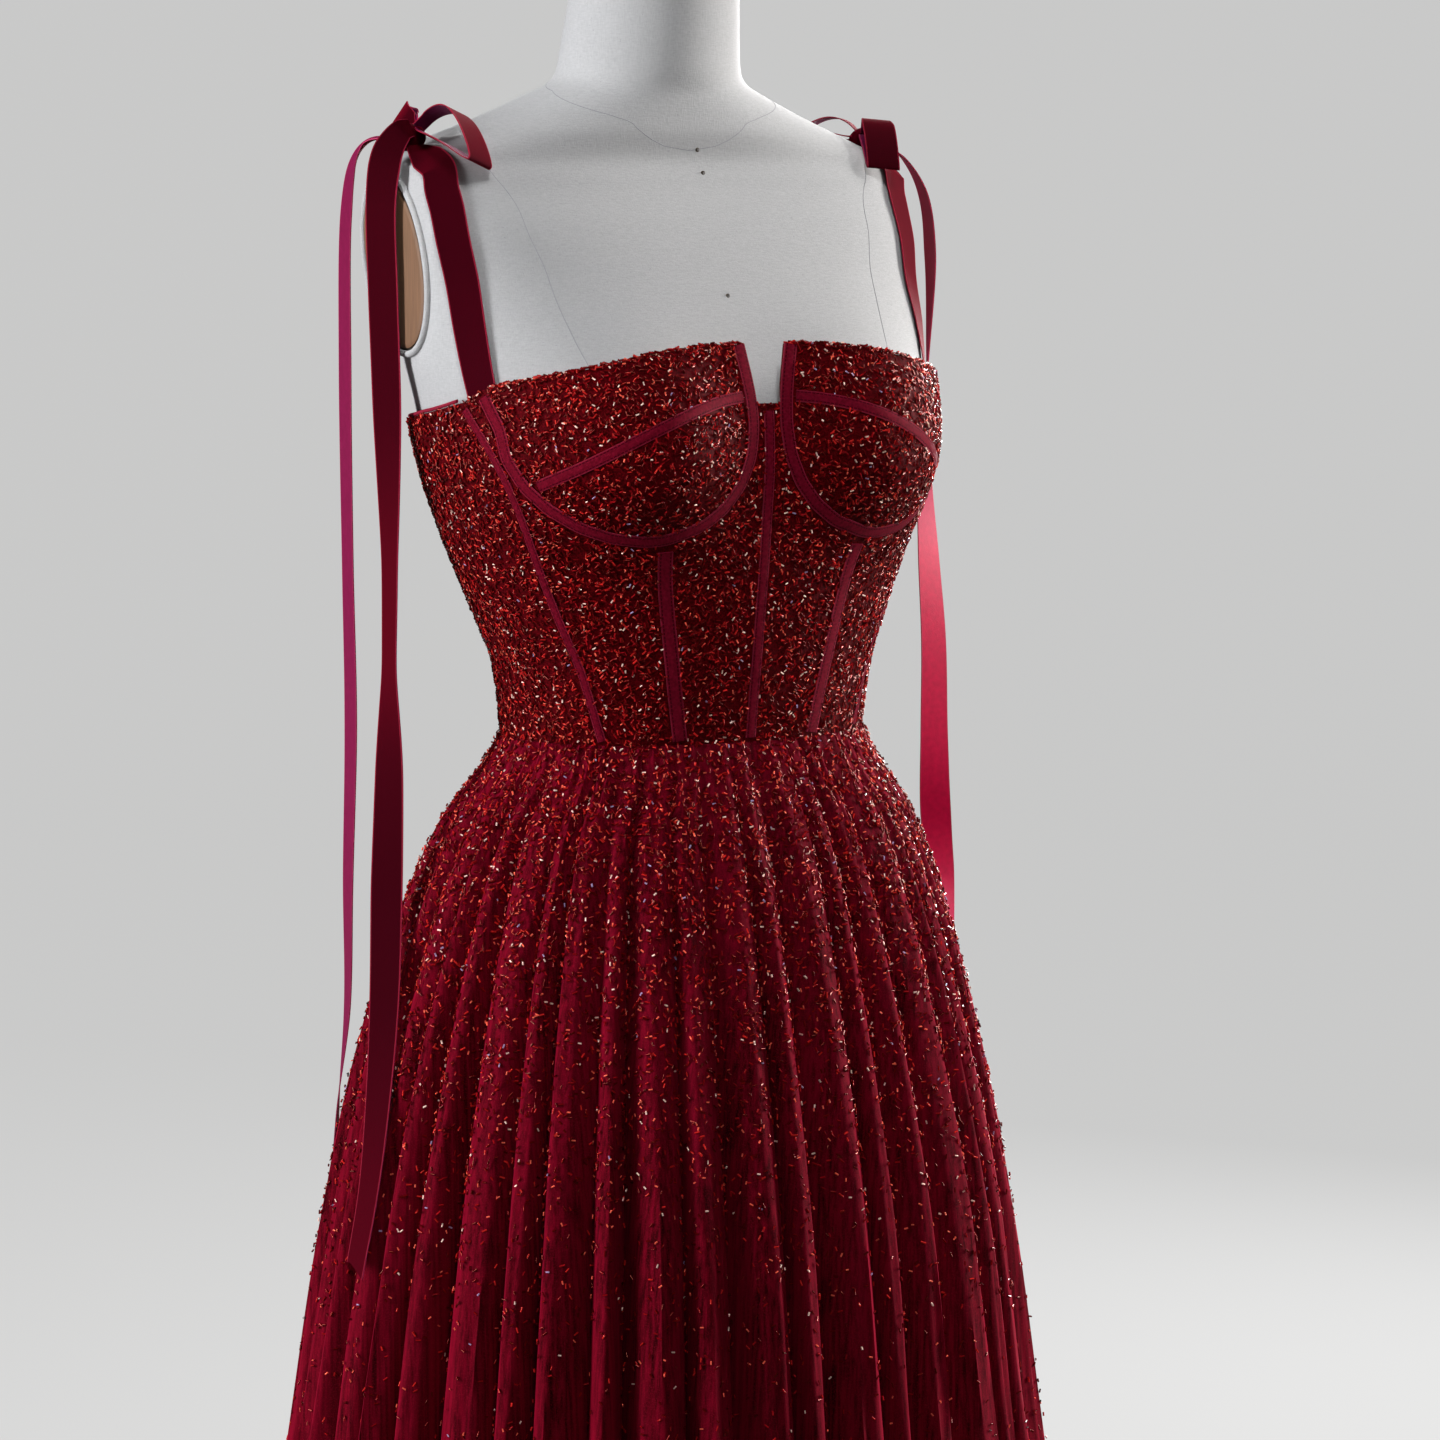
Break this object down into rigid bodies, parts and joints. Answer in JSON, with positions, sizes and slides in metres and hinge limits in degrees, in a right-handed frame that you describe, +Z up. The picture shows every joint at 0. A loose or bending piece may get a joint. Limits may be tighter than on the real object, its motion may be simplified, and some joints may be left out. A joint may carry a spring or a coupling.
{
  "type": "a-line evening gown on a limbless dress form",
  "caption": "Floor-length gathered gown with a boned, beaded bodice, seamed cups and ribbon straps tied in bows, on a padded dress form with a pole and round base.",
  "frame": {"origin": "centre of the underside of the stand's round base, on the floor", "axes": "+Z up the pole to the neck, -Y out of the gown's front, +X to the wearer's left"},
  "size_m": [0.699, 0.671, 1.5663],
  "materials": {
    "beaded_cloth": "crimson tulle covered in small glass bugle beads",
    "satin_tape": "satin tape with two rows of stitching",
    "tulle": "several layers of fine net, beaded from the waist",
    "velvet_ribbon": "velvet with paler woven edges",
    "linen": "plain off-white linen",
    "board": "plain varnished board",
    "zip_metal": "dyed zip metal",
    "stand_steel": "satin steel tube",
    "stand_iron": "dark powder coat"
  },
  "bodies": {
    "gown_and_form": {"front_centre_left": "beaded_cloth", "front_centre_right": "beaded_cloth", "front_side_left": "beaded_cloth", "front_side_right": "beaded_cloth", "side_left": "beaded_cloth", "side_right": "beaded_cloth", "side_back_left": "beaded_cloth", "side_back_right": "beaded_cloth", "back_left": "beaded_cloth", "back_right": "beaded_cloth", "cup_lower_left": "beaded_cloth", "cup_lower_right": "beaded_cloth", "cup_upper_left": "beaded_cloth", "cup_upper_right": "beaded_cloth", "tape_underwire_left": "satin_tape", "tape_underwire_right": "satin_tape", "tape_cross_cup_left": "satin_tape", "tape_cross_cup_right": "satin_tape", "tape_front_left": "satin_tape", "tape_front_right": "satin_tape", "tape_side_front_left": "satin_tape", "tape_side_front_right": "satin_tape", "tape_side_back_left": "satin_tape", "tape_side_back_right": "satin_tape", "tape_back_left": "satin_tape", "tape_back_right": "satin_tape", "tape_centre": "satin_tape", "top_binding_left": "satin_tape", "top_binding_right": "satin_tape", "skirt_back_right": "tulle", "skirt_side_back_right": "tulle", "skirt_side_front_right": "tulle", "skirt_front": "tulle", "skirt_side_front_left": "tulle", "skirt_side_back_left": "tulle", "skirt_back_left": "tulle", "bow_knot_right": "velvet_ribbon", "strap_front_right": "velvet_ribbon", "strap_back_right": "velvet_ribbon", "bow_knot_left": "velvet_ribbon", "strap_front_left": "velvet_ribbon", "strap_back_left": "velvet_ribbon", "bow_loop_front_right": "velvet_ribbon", "bow_loop_back_right": "velvet_ribbon", "bow_loop_front_left": "velvet_ribbon", "bow_loop_back_left": "velvet_ribbon", "bow_tail_front_right": "velvet_ribbon", "bow_tail_back_right": "velvet_ribbon", "bow_tail_front_left": "velvet_ribbon", "bow_tail_back_left": "velvet_ribbon", "zip_slider": "zip_metal", "zip_bridge": "zip_metal", "form_torso": "linen", "form_neck_cap": "board", "form_arm_plate_right": "board", "form_arm_plate_left": "board", "stand_pole": "stand_steel", "stand_base": "stand_iron"},
    "zip_pull": {"zip_pull_tab": "zip_metal"}
  },
  "joints": [
    {"name": "pull_tab_swing", "type": "hinge", "parent": "gown_and_form", "child": "zip_pull", "pos_m": [0, 0.13253, 1.246], "axis": [1, 0, 0], "range_deg": [0, 170]}
  ]
}
